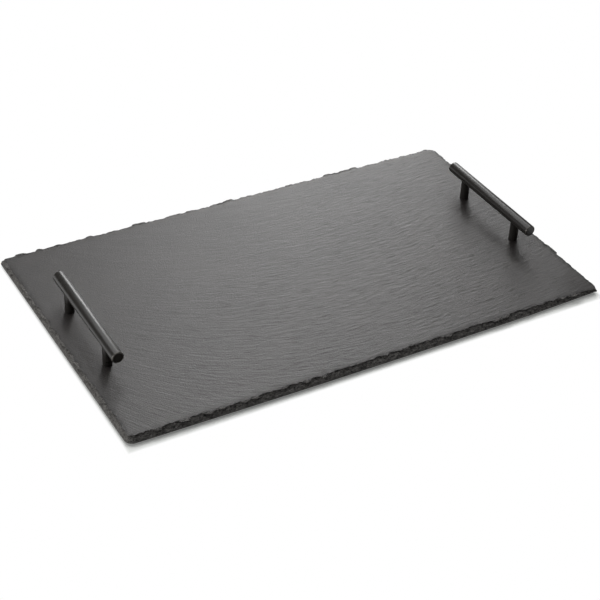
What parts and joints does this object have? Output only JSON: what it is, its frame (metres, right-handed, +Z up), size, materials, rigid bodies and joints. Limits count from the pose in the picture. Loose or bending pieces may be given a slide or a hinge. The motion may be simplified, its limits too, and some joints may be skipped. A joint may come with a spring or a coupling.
{
  "type": "slate serving board",
  "caption": "Rectangular slate serving board with a chipped edge, a T-bar handle across each end and rubber feet.",
  "frame": {"origin": "centre of the slate's bounding box, at the plane that the feet stand on", "axes": "+X along the long side to the right, +Y across the board to the back, +Z up"},
  "size_m": [0.5559, 0.33, 0.0418],
  "materials": {
    "slate": "riven satin",
    "black_steel": "satin powder coat",
    "zinc_steel": "bright zinc",
    "rubber": "matte"
  },
  "bodies": {
    "root": {"slate_board": "slate", "left_bar": "black_steel", "left_front_cap": "black_steel", "left_back_cap": "black_steel", "left_front_slug": "zinc_steel", "left_back_slug": "zinc_steel", "left_front_stud": "zinc_steel", "left_back_stud": "zinc_steel", "left_front_post": "black_steel", "left_back_post": "black_steel", "left_front_screw": "zinc_steel", "left_back_screw": "zinc_steel", "left_front_washer": "zinc_steel", "left_back_washer": "zinc_steel", "right_bar": "black_steel", "right_front_cap": "black_steel", "right_back_cap": "black_steel", "right_front_slug": "zinc_steel", "right_back_slug": "zinc_steel", "right_front_stud": "zinc_steel", "right_back_stud": "zinc_steel", "right_front_post": "black_steel", "right_back_post": "black_steel", "right_front_screw": "zinc_steel", "right_back_screw": "zinc_steel", "right_front_washer": "zinc_steel", "right_back_washer": "zinc_steel", "front_left_foot": "rubber", "front_right_foot": "rubber", "back_left_foot": "rubber", "back_right_foot": "rubber"}
  },
  "joints": []
}
